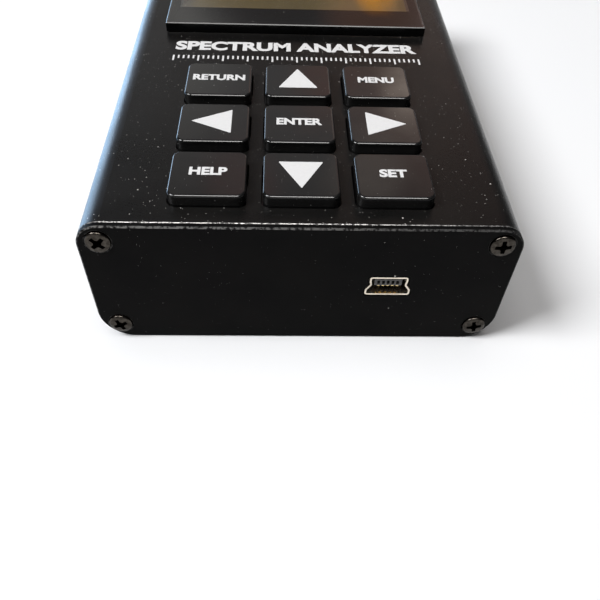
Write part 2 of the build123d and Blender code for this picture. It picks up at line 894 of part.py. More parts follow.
def make_battery_leads():
    """Two insulated wires curving from the cell up to the plug."""
    cell_end = battery_y - battery_length / 2
    cell_height = wall + pad_thickness + battery_thickness / 2
    plug_middle = board_bottom - socket_height / 2
    with BuildPart() as leads:
        for side in (-1, 1):
            start = (plug_x + side * lead_spacing / 2, plug_rear_y, plug_middle)
            end = (plug_x + side * lead_spacing / 2, cell_end, cell_height)
            with BuildLine() as path:
                Spline(start, end, tangents=[(0, 1, 0), (0, 1, 0)])
            with BuildSketch(Plane(origin=start, x_dir=(1, 0, 0), z_dir=(0, 1, 0))) as round_wire:
                Circle(lead_radius)
            sweep(round_wire.sketch, path=path.wires()[0])
    return leads


def make_battery_plug():
    """Plug on the end of the battery's wires."""
    plug_middle = board_bottom - socket_height / 2
    rear = Plane(origin=(plug_x, plug_rear_y, plug_middle), x_dir=(-1, 0, 0), z_dir=(0, 1, 0))
    with BuildPart() as plug:
        with BuildSketch(rear):
            Rectangle(plug_width, plug_height)
        extrude(amount=-plug_length)
    return plug


def make_battery_socket():
    """Socket under the board, open toward the battery."""
    plug_middle = board_bottom - socket_height / 2
    mouth_y = plug_rear_y - plug_length + socket_depth
    mouth = Plane(origin=(plug_x, mouth_y, plug_middle), x_dir=(-1, 0, 0), z_dir=(0, 1, 0))
    with BuildPart() as socket:
        with BuildSketch(mouth):
            Rectangle(plug_width + 2 * socket_wall, socket_height)
        extrude(amount=-(socket_depth + socket_wall))
        with BuildSketch(mouth):
            Rectangle(plug_width, plug_height)
        extrude(amount=-socket_depth, mode=Mode.SUBTRACT)
    return socket


def make_rf_shield_cans():
    """Two folded steel cans over the radio sections of the board."""
    with BuildPart() as cans:
        with BuildSketch(board_underside):
            with Locations((0, can_y)):
                with GridLocations(2 * can_x, 1, 2, 1):
                    Rectangle(can_width, can_length)
        extrude(amount=can_height)
        with BuildSketch(board_underside):
            with Locations((0, can_y)):
                with GridLocations(2 * can_x, 1, 2, 1):
                    Rectangle(can_width - 2 * can_sheet, can_length - 2 * can_sheet)
        extrude(amount=can_height - can_sheet, mode=Mode.SUBTRACT)
    return cans


def make_microcontroller():
    """Main processor: a square leadless chip with a marked corner."""
    mark_offset = microcontroller_size / 2 - chip_mark_inset
    with BuildPart() as chip:
        with BuildSketch(board_underside):
            with Locations(microcontroller_place):
                Rectangle(microcontroller_size, microcontroller_size)
        extrude(amount=chip_thickness)
        with BuildSketch(board_underside.offset(chip_thickness)):
            with Locations(microcontroller_place):
                with Locations((-mark_offset, mark_offset)):
                    Circle(chip_mark_radius)
        extrude(amount=-chip_mark_depth, mode=Mode.SUBTRACT)
    return chip


def make_support_chips():
    """Radio chips inside the shield cans, the data port's bridge chip and the charger chip."""
    places = [(-can_x, can_y), (can_x, can_y), bridge_chip_place, charger_chip_place]
    with BuildPart() as chips:
        with BuildSketch(board_underside):
            with Locations(places):
                Rectangle(chip_size, chip_size)
        extrude(amount=chip_thickness)
    return chips


def make_crystal():
    """Metal-cased timing crystal."""
    with BuildPart() as crystal:
        with BuildSketch(board_underside):
            with Locations(crystal_place):
                SlotOverall(crystal_length, crystal_width)
        extrude(amount=crystal_height)
        fillet(crystal.faces().sort_by(Axis.Z)[0].edges(), crystal_edge_radius)
    return crystal


def make_small_components():
    """Chip resistors and capacitors around the processor."""
    with BuildPart() as components:
        with BuildSketch(board_underside):
            with Locations([(0, y) for y in small_part_rows_y]):
                with GridLocations(small_part_pitch, small_part_pitch, small_part_columns, 2):
                    Rectangle(small_part_length, small_part_width)
        extrude(amount=small_part_height)
    return components


def save_case():
    """Shells, end plates and their screws."""
    tube = make_case_tube()
    screw = make_screw()
    save(make_front_shell(tube), "front_shell")
    save(make_back_shell(tube), "back_shell")
    save(make_bottom_end_plate(make_blank_plate(bottom_end)), "bottom_end_plate")
    save(make_top_end_plate(make_blank_plate(top_end)), "top_end_plate")
    save(make_plate_screws(screw, bottom_end), "bottom_plate_screws")
    save(make_plate_screws(screw, top_end), "top_plate_screws")


def save_keypad():
    """Keys with their plungers, and the shared switch pieces."""
    for row, names in enumerate(key_names):
        for column, name in enumerate(names):
            x = key_grid_x + (column - 1) * key_pitch
            y = key_grid_y + (1 - row) * key_pitch
            save(make_key(x, y), f"key_{name}")
            save(make_plunger(x, y), f"plunger_{name}")
    save(make_tact_switch_bodies(), "tact_switch_bodies")
    save(make_tact_switch_domes(), "tact_switch_domes")
    save(make_tact_switch_covers(), "tact_switch_covers")
    save(make_tact_switch_legs(), "tact_switch_legs")


def save_screen():
    """Window and screen module."""
    backlight_height = lcd_board_height + lcd_board_thickness
    panel_height = backlight_height + lcd_backlight_thickness
    save(make_screen_window(), "screen_window")
    save(make_window_adhesive(), "window_adhesive")
    save(make_lcd_frame(), "lcd_frame")
    save(make_lcd_slab(panel_height, lcd_panel_thickness), "lcd_panel")
    save(make_lcd_slab(backlight_height, lcd_backlight_thickness), "lcd_backlight")
    save(make_lcd_board(), "lcd_board")
    save(make_header_strip(), "lcd_header_strip")
    save(make_header_pins(), "lcd_header_pins")
    save(make_lcd_spacers(), "lcd_spacers")


def save_connectors():
    """Mini-B receptacle, antenna connector and power switch."""
    save(make_usb_shell(), "usb_shell")
    save(make_usb_insulator(), "usb_insulator")
    save(make_usb_contacts(), "usb_contacts")
    save(make_sma_body(), "sma_body")
    save(make_sma_insulator(), "sma_insulator")
    save(make_sma_center_contact(), "sma_center_contact")
    save(make_sma_lock_washer(), "sma_lock_washer")
    save(make_sma_nut(), "sma_nut")
    save(make_power_switch_base(), "power_switch_base")
    save(make_power_switch_cover(), "power_switch_cover")
    save(make_power_switch_slider(), "power_switch_slider")
    save(make_power_switch_pins(), "power_switch_pins")


def save_electronics():
    """Board, its components and the battery."""
    save(make_main_board(), "main_board")
    save(make_microcontroller(), "microcontroller")
    save(make_support_chips(), "support_chips")
    save(make_crystal(), "crystal")
    save(make_small_components(), "small_components")
    save(make_rf_shield_cans(), "rf_shield_cans")
    save(make_battery_pouch(), "battery_pouch")
    save(make_battery_pad(), "battery_pad")
    save(make_battery_leads(), "battery_leads")
    save(make_battery_plug(), "battery_plug")
    save(make_battery_socket(), "battery_socket")


os.makedirs("parts", exist_ok=True)
save_case()
save_keypad()
save_screen()
save_connectors()
save_electronics()
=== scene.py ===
import json
import math

import bmesh
import bpy
from mathutils import Euler, Matrix, Vector


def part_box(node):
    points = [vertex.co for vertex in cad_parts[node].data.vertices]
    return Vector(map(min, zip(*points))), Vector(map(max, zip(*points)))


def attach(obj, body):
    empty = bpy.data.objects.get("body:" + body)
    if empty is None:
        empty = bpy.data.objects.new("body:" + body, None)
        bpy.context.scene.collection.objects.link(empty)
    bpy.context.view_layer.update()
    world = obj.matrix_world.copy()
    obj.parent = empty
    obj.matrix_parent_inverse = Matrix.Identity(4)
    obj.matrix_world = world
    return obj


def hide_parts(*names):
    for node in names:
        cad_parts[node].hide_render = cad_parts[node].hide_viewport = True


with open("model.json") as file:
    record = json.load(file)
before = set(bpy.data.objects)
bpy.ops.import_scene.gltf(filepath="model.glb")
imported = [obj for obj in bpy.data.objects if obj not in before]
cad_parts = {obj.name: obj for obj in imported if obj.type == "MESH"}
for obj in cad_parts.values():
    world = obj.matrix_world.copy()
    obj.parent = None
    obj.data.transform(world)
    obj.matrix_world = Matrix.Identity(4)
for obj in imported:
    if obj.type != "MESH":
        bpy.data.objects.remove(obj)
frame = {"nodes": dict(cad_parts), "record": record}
bpy.context.view_layer.update()

# Metres throughout. +X is right as the user reads the keys, +Y runs to the antenna connector,
# +Z comes out of the front face, and the floor is the plane of the back face, z = 0.
MM = 0.001

# Camera: a phone held above the bottom end, looking down at the keys and the end plate. Its place
# is in metres, its turn in degrees and its lens in millimetres on a 36 mm sensor.
CAMERA_PLACE = (-0.00396, -0.13096, 0.08666)
CAMERA_TURN = (38.13, -1.57, -0.97)
CAMERA_LENS = 37.44
CAMERA_SHIFT = (0.006, 0.107)

# Printed legends. INK_BOLDNESS is in the font's own units. A rise moves a legend along +Y from the
# middle of its key, and the arrows' lead moves them toward their tips.
INK_HEIGHT = 0.03 * MM
INK_BOLDNESS = 0.044
LEGEND_CAP = 2.1 * MM
LEGEND_RISE = 0.45 * MM
LEGEND_WIDTHS = {
    "return": 9.8 * MM,
    "menu": 6.9 * MM,
    "enter": 8.0 * MM,
    "help": 6.1 * MM,
    "set": 4.5 * MM,
}
ARROW_LENGTH = 7.0 * MM
ARROW_BASE = 7.3 * MM
ARROW_CORNER = 0.25 * MM
ARROW_CORNER_POINTS = 5
ARROW_LEAD = 0.45 * MM
ARROW_RISE = 0.2 * MM
ARROW_TURNS = {"up": 0, "left": 90, "down": 180, "right": 270}
TITLE = "SPECTRUM ANALYZER"
TITLE_WIDTH = 50.0 * MM
TITLE_CAP = 3.8 * MM
TITLE_Y = 1.5 * MM
SCALE_Y = -3.8 * MM
SCALE_TICKS = 51
SCALE_PITCH = 1.0 * MM
SCALE_TICK_WIDTH = 0.35 * MM
SCALE_SHORT_TICK = 1.3 * MM
SCALE_LONG_TICK = 2.2 * MM
SCALE_LONG_EVERY = 5

# Antenna connector: a 1/4 inch thread with 36 turns to the inch, a square flange, and four
# fingers that hold the board's edge. THREAD_FLAT is how far the flanks are cut off at the root and
# at the crest, as a share of the thread's depth.
THREAD_PITCH = 25.4 / 36 * MM
THREAD_DEPTH = 0.32 * MM
THREAD_FLAT = 0.15
CREST_RADIUS = 25.4 / 4 / 2 * MM
ROOT_RADIUS = CREST_RADIUS - THREAD_DEPTH
TIP_CHAMFER = 0.4 * MM
BORE_RADIUS = 2.3 * MM
SLEEVE_RADIUS = 2.05 * MM
FLANGE = 6.4 * MM
FLANGE_THICKNESS = 1.9 * MM
FINGER = 1.0 * MM
FINGER_SPREAD = 5.4 * MM
SMALL_BEVEL = 0.08 * MM
SMOOTH_ANGLE = math.radians(38)
THREAD_SIDES = 96
ROWS_PER_TURN = 10

# Screen dots, and the share of each dot's pitch that lies before the paler gap
DOT_PITCH = 0.39 * MM
DOT_FILL = 0.86

DUST = (0.55, 0.53, 0.50, 1)
# bare metal on worn chamfers, also the colour of their painted highlight line
WORN_METAL_AND_HIGHLIGHT = (0.42, 0.41, 0.40, 1)

# Floor: half its side, the distances from the middle where it fades to plain white for the camera,
# and the bluish window light that glossy surfaces mirror in it at the left. The blue grows from none
# to full over a stretch of x and a stretch of y.
FLOOR_REACH = 6.0
FLOOR_FADE_START = 0.15
FLOOR_FADE_END = 0.45
WINDOW_BLUE = (0.32, 0.63, 1.0, 1)
WINDOW_BLUE_STRENGTH = 4.0
WINDOW_BLUE_X = (-0.02, -0.10)
WINDOW_BLUE_Y = (-0.06, 0.02)

# The room that the object mirrors: azimuth from +Y toward +X and elevation in degrees, the angles
# where the glow is full and where it ends, and its colour. A later glow covers an earlier one. The
# comments say where the camera sees each glow.
ROOM_DARK = (0.040, 0.040, 0.043, 1)
ROOM_GLOWS = [
    (0, 90, 10, 46, (0.30, 0.30, 0.31, 1)),  # on edges tilted toward the camera
    (-2, 5, 30, 37, (0.33, 0.32, 0.32, 1)),  # over the whole face
    (-12, 25, 3, 9, (0.55, 0.54, 0.52, 1)),  # on the left shoulder, beside the title
    (19, 27, 3, 14, (0.50, 0.33, 0.29, 1)),  # on the right shoulder, beside the menu key
    (12.8, 27, 0.8, 3.2, (2.0, 1.65, 1.4, 1)),  # at the menu key's right edge
    (4.5, 27.5, 1, 3.5, (0.50, 0.30, 0.26, 1)),  # on the up key
    (-4, 36, 1, 4, (0.50, 0.31, 0.29, 1)),  # at the help key's right edge
    (9.5, 35, 1, 4, (0.75, 0.63, 0.56, 1)),  # at the set key's left edge
    (1, 16, 6, 11, (0.10, 0.09, 0.09, 1)),  # a dark patch on the screen
    (-24, 9, 3, 10, (1.2, 1.4, 1.7, 1)),  # on the left shoulder's rounding
    (-39, -1, 10, 15, (4.2, 5.6, 7.4, 1)),  # bluer, lower on the same rounding
    (8.3, 22, 1, 5, (0.30, 0.17, 0.13, 1)),  # round the amber spot in the screen
    (8.3, 20.4, 0.4, 2.2, (1.2, 0.45, 0.03, 1)),  # the amber spot in the screen
]


class Nodes:
    """Short names for building a node tree."""

    def __init__(self, tree):
        self.tree = tree
        self.tree.nodes.clear()

    def add(self, kind, inputs=None, **settings):
        """Add a node; an input is linked if its value is a socket, and set if it is a number."""
        node = self.tree.nodes.new(kind)
        for key, value in settings.items():
            setattr(node, key, value)
        for key, value in (inputs or {}).items():
            self.fill(node.inputs[key], value)
        return node

    def fill(self, socket, value):
        """Link a socket to an input, or set the input to a number or colour."""
        if isinstance(value, bpy.types.NodeSocket):
            self.tree.links.new(value, socket)
        else:
            socket.default_value = value

    def math(self, operation, a, b=0.0):
        """The result of one arithmetic step."""
        return self.add("ShaderNodeMath", {0: a, 1: b}, operation=operation).outputs[0]

    def remap(self, value, low, high, to_low=0.0, to_high=1.0, curve="LINEAR"):
        """Carry the range low to high over to another range, and clamp at its ends."""
        inputs = {1: low, 2: high, 3: to_low, 4: to_high, 0: value}
        return self.add("ShaderNodeMapRange", inputs, interpolation_type=curve).outputs[0]

    def mix(self, factor, a, b):
        """Mix two colours."""
        return self.add("ShaderNodeMix", {0: factor, 6: a, 7: b}, data_type="RGBA").outputs[2]


class Shader(Nodes):
    """A material around one Principled surface, patterned in metres of the object's own frame."""

    def __init__(self, name):
        self.material = bpy.data.materials.new(name)
        self.material.use_nodes = True
        super().__init__(self.material.node_tree)
        self.surface = self.add("ShaderNodeBsdfPrincipled")
        self.output = self.add("ShaderNodeOutputMaterial", {"Surface": self.surface.outputs["BSDF"]})
        self.place = self.add("ShaderNodeTexCoord").outputs["Object"]
        self.normal = None

    def finish(self, values):
        """Fill the surface's inputs by name and give back the material."""
        for key, value in values.items():
            self.fill(self.surface.inputs[key], value)
        if self.normal is not None:
            self.fill(self.surface.inputs["Normal"], self.normal)
        return self.material

    def noise(self, size, detail=2.0, stretch=(1, 1, 1)):
        """Noise with features of about the given size in metres; a larger stretch is finer."""
        place = self.add("ShaderNodeVectorMath", {0: self.place, 1: stretch}, operation="MULTIPLY")
        inputs = {"Vector": place.outputs[0], "Scale": 1 / size, "Detail": detail}
        return self.add("ShaderNodeTexNoise", inputs).outputs["Fac"]

    def bump(self, height, depth, strength=1.0):
        """Add relief of the given depth in metres on top of the relief so far."""
        inputs = {"Height": height, "Distance": depth, "Strength": strength}
        if self.normal is not None:
            inputs["Normal"] = self.normal
        self.normal = self.add("ShaderNodeBump", inputs).outputs["Normal"]

    def axis(self, name):
        """One coordinate of the place, in metres."""
        return self.add("ShaderNodeSeparateXYZ", {0: self.place}).outputs[name]

    def facing(self, name):
        """One part of the direction that the surface faces."""
        normal = self.add("ShaderNodeNewGeometry").outputs["True Normal"]
        return self.add("ShaderNodeSeparateXYZ", {0: normal}).outputs[name]

    def specks(self, spacing, radius):
        """Mask of sparse round specks of varied size."""
        cells = self.add("ShaderNodeTexVoronoi", {"Vector": self.place, "Scale": 1 / spacing})
        random = self.add("ShaderNodeSeparateColor", {0: cells.outputs["Color"]}).outputs[0]
        size = self.math("MULTIPLY", self.math("POWER", random, 3.0), radius / spacing)
        return self.math("LESS_THAN", cells.outputs["Distance"], size)

    def dusty(self, color, coarse=0.15 * MM, fine=0.09 * MM):
        """A colour with pale dust on it: a few coarse specks, and fine ones in drifts."""
        drift = self.remap(self.noise(11 * MM, 2), 0.40, 0.56, 0.15, 1)
        powder = self.math("MULTIPLY", self.specks(0.45 * MM, fine), drift)
        return self.mix(self.math("MAXIMUM", self.specks(2.6 * MM, coarse), powder), color, DUST)

    def worn_and_lit_chamfers(self):
        """Mask of the narrow chamfers round both ends of the case, worn in patches, and brighter toward
        the left as a painted highlight.
        """
        along = self.math("ABSOLUTE", self.facing("Y"))
        tilt = math.sin(math.radians(45))
        off_chamfer = self.math("ABSOLUTE", self.math("SUBTRACT", along, tilt))
        chamfer = self.remap(off_chamfer, 0.05, 0.25, 1, 0)
        # painted highlight: the chamfers are made brighter toward the left, where the light falls
        leftward = self.remap(self.axis("X"), 30 * MM, -30 * MM, 0.45, 1)
        patches = self.remap(self.noise(0.45 * MM, 3), 0.38, 0.56)
        return self.math("MULTIPLY", chamfer, self.math("MULTIPLY", leftward, patches))


def gray(value, warmth=0.0):
    """A dark or light neutral, warmed a little if asked."""
    return (value * (1 + warmth), value, value * (1 - warmth), 1)


def case_finish():
    """Bead-blasted, black anodised aluminium: satin with a fine grain, dust, and worn edges that also
    carry a painted highlight.
    """
    shader = Shader("case_finish")
    mottle = shader.noise(14 * MM, 4)
    grain = shader.noise(0.16 * MM, 3)
    color = shader.mix(shader.remap(mottle, 0.35, 0.7), gray(0.0030, 0.03), gray(0.0055, 0.10))
    color = shader.mix(shader.remap(grain, 0.62, 0.8, 0, 0.35), color, gray(0.04, 0.04))
    # worn bare metal on the end chamfers, doubling as a painted highlight line
    wear_and_highlight = shader.math("MULTIPLY", shader.worn_and_lit_chamfers(), 0.85)
    color = shader.mix(wear_and_highlight, shader.dusty(color), WORN_METAL_AND_HIGHLIGHT)
    shader.bump(grain, 0.022 * MM, 0.9)
    smudge = shader.remap(mottle, 0.3, 0.7, 0.28, 0.38)
    roughness = shader.math("ADD", smudge, shader.remap(grain, 0.3, 0.7, -0.05, 0.05))
    values = {
        "Base Color": color,
        "Metallic": wear_and_highlight,
        "Roughness": roughness,
        "Specular IOR Level": 0.25,
    }
    return shader.finish(values)


def plate_finish():
    """Flatter matte black of the end plates, with worn edges that also carry a faint painted highlight.
    """
    shader = Shader("plate_finish")
    mottle = shader.noise(9 * MM, 3)
    grain = shader.noise(0.12 * MM, 3)
    color = shader.mix(shader.remap(mottle, 0.35, 0.7), gray(0.0035), gray(0.0050, 0.06))
    # worn bare metal on the chamfers, doubling as a faint painted highlight line
    wear_and_highlight = shader.math("MULTIPLY", shader.worn_and_lit_chamfers(), 0.25)
    color = shader.mix(wear_and_highlight, shader.dusty(color, 0.15 * MM, 0.04 * MM), WORN_METAL_AND_HIGHLIGHT)
    shader.bump(grain, 0.008 * MM, 0.5)
    roughness = shader.remap(grain, 0.3, 0.7, 0.44, 0.58)
    values = {
        "Base Color": color,
        "Metallic": wear_and_highlight,
        "Roughness": roughness,
        "Specular IOR Level": 0.03,
    }
    return shader.finish(values)


def dark_screws():
    """Dark nickel plating, lighter where it is worn, with a fine grain."""
    shader = Shader("dark_screws")
    wear = shader.noise(0.6 * MM, 4)
    plating, rubbed = (0.030, 0.026, 0.022, 1), (0.070, 0.062, 0.053, 1)
    color = shader.mix(shader.remap(wear, 0.4, 0.7), plating, rubbed)
    shader.bump(shader.noise(0.08 * MM, 2), 0.004 * MM, 0.5)
    roughness = shader.remap(wear, 0.3, 0.7, 0.16, 0.28)
    return shader.finish({"Base Color": color, "Metallic": 1.0, "Roughness": roughness})


def key_plastic():
    """Gloss black moulded keys with a faint orange peel and a little dust."""
    shader = Shader("key_plastic")
    peel = shader.noise(0.7 * MM, 2)
    rub = shader.noise(5 * MM, 3)
    color = shader.mix(shader.remap(rub, 0.35, 0.7), gray(0.0065), gray(0.0095, 0.04))
    shader.bump(peel, 0.004 * MM, 0.4)
    shader.bump(shader.noise(0.1 * MM, 2), 0.002 * MM, 0.35)
    roughness = shader.remap(rub, 0.3, 0.7, 0.10, 0.17)
    color = shader.dusty(color, 0.10 * MM, 0.05 * MM)
    return shader.finish({"Base Color": color, "Roughness": roughness})


def matte_plastic(name, color, grain_size=0.2 * MM, roughness=0.5):
    """Moulded plastic with a fine spark-eroded grain."""
    shader = Shader(name)
    grain = shader.noise(grain_size, 3)
    dark = tuple(0.82 * c for c in color) + (1,)
    tone = shader.mix(shader.noise(4 * MM, 3), dark, tuple(color) + (1,))
    shader.bump(grain, 0.01 * MM, 0.5)
    rough = shader.remap(grain, 0.3, 0.7, roughness - 0.06, roughness + 0.06)
    return shader.finish({"Base Color": tone, "Roughness": rough})


def metal(name, color, roughness, stretch=(1, 1, 1), grain_size=0.15 * MM):
    """Plated or rolled metal with a grain that can run one way."""
    shader = Shader(name)
    grain = shader.noise(grain_size, 3, stretch)
    tarnish = shader.noise(2.5 * MM, 4)
    dark = tuple(0.72 * c for c in color) + (1,)
    tone = shader.mix(shader.remap(tarnish, 0.35, 0.65), dark, tuple(color) + (1,))
    shader.bump(grain, 0.003 * MM, 0.5)
    rough = shader.remap(grain, 0.3, 0.7, roughness - 0.05, roughness + 0.07)
    return shader.finish({"Base Color": tone, "Metallic": 1.0, "Roughness": rough})


def window_acrylic():
    """Clear cast acrylic with faint wipe marks and dust, and black edge faces that are painted shade.

    Shadow and diffuse rays pass straight through it, so the screen below is lit.
    """
    shader = Shader("window_acrylic")
    wipe = shader.noise(6 * MM, 3, (1, 0.35, 1))
    roughness = shader.remap(wipe, 0.45, 0.75, 0.0, 0.09)
    values = {
        "Base Color": (0.93, 0.94, 0.94, 1),
        "Roughness": roughness,
        "IOR": 1.49,
        "Transmission Weight": 1.0,
        "Specular IOR Level": 0.3,
    }
    material = shader.finish(values)
    # painted shade: the edge faces and chamfers get a black surface for the dark they show
    on_edge = shader.math("LESS_THAN", shader.math("ABSOLUTE", shader.facing("Z")), 0.9)
    edge_shade = shader.add(
        "ShaderNodeBsdfPrincipled",
        {"Base Color": gray(0.001), "Roughness": 0.2, "Specular IOR Level": 0.3},
    )
    clear = shader.add("ShaderNodeBsdfTransparent", {"Color": (0.92, 0.92, 0.92, 1)})
    rays = shader.add("ShaderNodeLightPath")
    shadow_or_diffuse = shader.math(
        "MAXIMUM", rays.outputs["Is Shadow Ray"], rays.outputs["Is Diffuse Ray"]
    )
    body = shader.add(
        "ShaderNodeMixShader",
        {0: shadow_or_diffuse, 1: shader.surface.outputs["BSDF"], 2: clear.outputs["BSDF"]},
    )
    shaded_edges = shader.add(
        "ShaderNodeMixShader", {0: on_edge, 1: body.outputs[0], 2: edge_shade.outputs["BSDF"]}
    )
    dust = shader.add("ShaderNodeBsdfDiffuse", {"Color": DUST})
    specks = shader.specks(2.2 * MM, 0.13 * MM)
    surface = shader.add(
        "ShaderNodeMixShader", {0: specks, 1: shaded_edges.outputs[0], 2: dust.outputs["BSDF"]}
    )
    shader.fill(shader.output.inputs["Surface"], surface.outputs[0])
    return material


def window_border():
    """Black border under the window."""
    shader = Shader("window_border")
    fibre = shader.noise(0.3 * MM, 3)
    color = shader.mix(fibre, gray(0.0015, 0.05), gray(0.0035, 0.08))
    shader.bump(fibre, 0.006 * MM, 0.4)
    return shader.finish({"Base Color": color, "Roughness": 0.5, "Specular IOR Level": 0.2})


def lcd_glass():
    """Olive transflective screen, switched off: a faint dot grid and a brushed reflector."""
    shader = Shader("lcd_glass")
    gaps = []
    for name in ("X", "Y"):
        along_dot = shader.math("FRACT", shader.math("DIVIDE", shader.axis(name), DOT_PITCH))
        gaps.append(shader.remap(along_dot, DOT_FILL, DOT_FILL + 0.04))
    grid = shader.math("MAXIMUM", *gaps)
    reflector = shader.noise(0.5 * MM, 3, (1, 0.05, 1))
    cloud = shader.noise(16 * MM, 2, (1, 0.3, 1))
    dark_olive, light_olive = (0.086, 0.060, 0.014, 1), (0.120, 0.083, 0.020, 1)
    olive = shader.mix(shader.remap(cloud, 0.35, 0.65), dark_olive, light_olive)
    olive = shader.mix(shader.math("MULTIPLY", reflector, 0.25), olive, (0.15, 0.10, 0.03, 1))
    olive = shader.mix(shader.math("MULTIPLY", grid, 0.12), olive, (0.14, 0.10, 0.035, 1))
    return shader.finish({"Base Color": olive, "Roughness": 0.3, "Specular IOR Level": 0.2})


def board_laminate():
    """Green solder mask over copper tracks."""
    shader = Shader("board_laminate")
    tracks = shader.add(
        "ShaderNodeTexVoronoi",
        {"Vector": shader.place, "Scale": 1 / (3.2 * MM)},
        feature="DISTANCE_TO_EDGE",
        distance="MANHATTAN",
    )
    on_track = shader.remap(tracks.outputs["Distance"], 0.05, 0.07, 1, 0)
    color = shader.mix(on_track, (0.010, 0.085, 0.036, 1), (0.020, 0.14, 0.055, 1))
    shader.bump(on_track, 0.03 * MM, 0.5)
    shader.bump(shader.noise(0.4 * MM, 2), 0.006 * MM, 0.4)
    return shader.finish({"Base Color": color, "Roughness": 0.28})


def battery_film():
    """Silver laminated pouch film with shallow creases."""
    shader = Shader("battery_film")
    crease = shader.noise(3.5 * MM, 4)
    shader.bump(crease, 0.15 * MM, 0.5)
    color = shader.mix(crease, (0.52, 0.53, 0.55, 1), (0.74, 0.75, 0.76, 1))
    return shader.finish({"Base Color": color, "Metallic": 0.85, "Roughness": 0.34})


def foam_pad():
    """Closed-cell foam."""
    shader = Shader("foam_pad")
    cells = shader.add("ShaderNodeTexVoronoi", {"Vector": shader.place, "Scale": 1 / (0.45 * MM)})
    shader.bump(cells.outputs["Distance"], 0.12 * MM, 0.7)
    color = shader.mix(cells.outputs["Distance"], gray(0.012), gray(0.045))
    return shader.finish({"Base Color": color, "Roughness": 0.85})


def wire_insulation():
    """One red and one black insulated wire, told apart by the side they run on."""
    shader = Shader("wire_insulation")
    low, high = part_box("battery_leads")
    side = shader.math("GREATER_THAN", shader.axis("X"), (low.x + high.x) / 2)
    color = shader.mix(side, gray(0.015), (0.42, 0.02, 0.015, 1))
    shader.bump(shader.noise(0.3 * MM, 2), 0.01 * MM, 0.4)
    return shader.finish({"Base Color": color, "Roughness": 0.42})


def ceramic_chip():
    """Ceramic chip components in browns and near black, faintly speckled."""
    shader = Shader("ceramic_chip")
    speckle = shader.noise(0.25 * MM, 2)
    color = shader.mix(shader.noise(5 * MM, 1), (0.26, 0.17, 0.09, 1), (0.03, 0.03, 0.032, 1))
    color = shader.mix(shader.remap(speckle, 0.5, 0.7, 0, 0.3), color, (0.4, 0.33, 0.22, 1))
    shader.bump(speckle, 0.01 * MM, 0.4)
    return shader.finish({"Base Color": color, "Roughness": 0.45})


def ink():
    """White printed legends, very slightly uneven."""
    shader = Shader("legend_ink")
    uneven = shader.noise(0.5 * MM, 3)
    color = shader.mix(uneven, gray(0.68, 0.01), gray(0.76, 0.01))
    shader.bump(uneven, 0.004 * MM, 0.4)
    return shader.finish({"Base Color": color, "Roughness": 0.42})


def dress_nodes():
    """Give every CAD node the procedural material of its record slot."""
    made = {
        "case_finish": case_finish(),
        "plate_finish": plate_finish(),
        "dark_screws": dark_screws(),
        "key_plastic": key_plastic(),
        "switch_plastic": matte_plastic("switch_plastic", (0.022, 0.022, 0.023)),
        "steel_sheet": metal("steel_sheet", (0.56, 0.55, 0.53), 0.30, (1, 0.08, 1)),
        "lcd_steel": matte_plastic("lcd_steel", (0.018, 0.018, 0.019), 0.1 * MM, 0.42),
        "tin_plate": metal("tin_plate", (0.66, 0.66, 0.65), 0.26),
        "window_acrylic": window_acrylic(),
        "window_border": window_border(),
        "lcd_glass": lcd_glass(),
        "light_guide": matte_plastic("light_guide", (0.78, 0.79, 0.77), 0.3 * MM, 0.4),
        "board_laminate": board_laminate(),
        "chip_resin": matte_plastic("chip_resin", (0.020, 0.020, 0.021), 0.12 * MM, 0.55),
        "ceramic_chip": ceramic_chip(),
        "white_nylon": matte_plastic("white_nylon", (0.72, 0.70, 0.63), 0.25 * MM, 0.45),
        "receptacle_nickel": metal("receptacle_nickel", (0.80, 0.72, 0.60), 0.22),
        "receptacle_plastic": matte_plastic("receptacle_plastic", (0.075, 0.073, 0.070)),
        "contact_gold": metal("contact_gold", (0.86, 0.66, 0.32), 0.2),
        "gold_brass": metal("gold_brass", (0.83, 0.60, 0.26), 0.22),
        "ptfe": matte_plastic("ptfe", (0.80, 0.80, 0.77), 0.3 * MM, 0.4),
        "battery_film": battery_film(),
        "foam_pad": foam_pad(),
        "wire_insulation": wire_insulation(),
    }
    for part in frame["record"]["subparts"]:
        slots = frame["nodes"][part["node"]].data.materials
        slots.clear()
        slots.append(made[part["material_slot"]])
    return made


def new_piece(name, mesh, material, body):
    """Put a finished mesh in the scene, riding on a CAD body."""
    mesh.materials.clear()
    mesh.materials.append(material)
    piece = bpy.data.objects.new(name, mesh)
    bpy.context.scene.collection.objects.link(piece)
    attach(piece, body)
    return piece


def printed_text(name, text, width, cap_height, centre, surface_z):
    """A flat run of capitals, fitted to a width and a cap height, standing on a surface."""
    curve = bpy.data.curves.new(name, "FONT")
    curve.body = text
    curve.offset = INK_BOLDNESS
    curve.extrude = 0.5  # any depth serves, because the run is fitted to the ink's height below
    curve.resolution_u = 5
    lettering = bpy.data.objects.new(name, curve)
    bpy.context.scene.collection.objects.link(lettering)
    bpy.context.view_layer.update()
    mesh = bpy.data.meshes.new_from_object(lettering)
    bpy.data.objects.remove(lettering)
    low = Vector((min(v.co[i] for v in mesh.vertices) for i in range(3)))
    high = Vector((max(v.co[i] for v in mesh.vertices) for i in range(3)))
    size = high - low
    middle = (low + high) / 2
    for vertex in mesh.vertices:
        vertex.co.x = centre[0] + (vertex.co.x - middle.x) / size.x * width
        vertex.co.y = centre[1] + (vertex.co.y - middle.y) / size.y * cap_height
        vertex.co.z = surface_z + (vertex.co.z - low.z) / size.z * INK_HEIGHT
    return mesh


